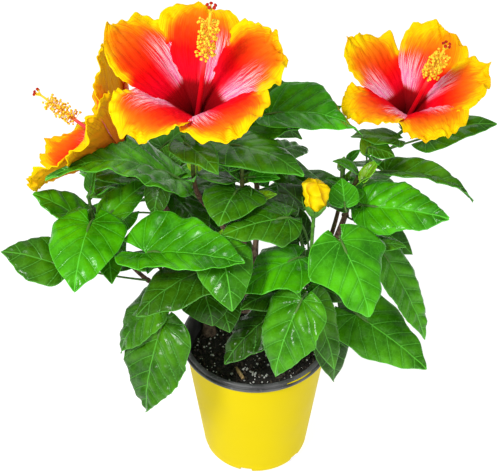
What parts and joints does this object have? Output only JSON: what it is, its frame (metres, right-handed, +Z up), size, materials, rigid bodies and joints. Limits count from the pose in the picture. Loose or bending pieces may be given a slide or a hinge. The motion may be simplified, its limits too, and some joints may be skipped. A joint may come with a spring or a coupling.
{
  "type": "potted hibiscus shrub",
  "caption": "Bushy tropical hibiscus in a round nursery pot, with glossy toothed leaves, open red and orange blooms edged in yellow, and a furled bud.",
  "frame": {"origin": "middle of the pot's flat underside", "axes": "+Z up along the pot's axis, -Y towards the side that the blooms face, +X to the right seen from there"},
  "size_m": [0.4568, 0.3343, 0.5701],
  "materials": {
    "pot": "smooth yellow moulded plastic, half gloss",
    "rim": "dark grey moulded plastic, satin",
    "soil": "dark peat with bark chips and white perlite",
    "bark": "thin grey-brown bark with small pores, green towards the tips",
    "leaf": "glossy green leaf with paler veins",
    "petal": "soft crinkled petal, red to orange with a yellow edge",
    "bud": "soft furled yellow petals"
  },
  "bodies": {
    "root": {"pot_wall": "pot", "pot_rim": "rim", "potting_soil": "soil", "stem_left": "bark", "stem_middle": "bark", "stem_right": "bark", "bough_left_low": "bark", "bough_back_left": "bark", "bough_front_left": "bark", "bough_front": "bark", "bough_high": "bark", "bough_centre": "bark", "bough_back": "bark", "bough_bud": "bark", "bough_front_right": "bark", "bough_right_low": "bark", "bough_back_right": "bark", "leaves_left": "leaf", "leaves_middle": "leaf", "leaves_right": "leaf", "leaves_left_low": "leaf", "leaves_back_left": "leaf", "leaves_front_left": "leaf", "leaves_front": "leaf", "leaves_high": "leaf", "leaves_centre": "leaf", "leaves_back": "leaf", "leaves_bud": "leaf", "leaves_front_right": "leaf", "leaves_right_low": "leaf", "leaves_back_right": "leaf", "bloom_main": "petal", "bloom_right": "petal", "bloom_left": "petal", "bud_yellow": "bud"}
  },
  "joints": []
}
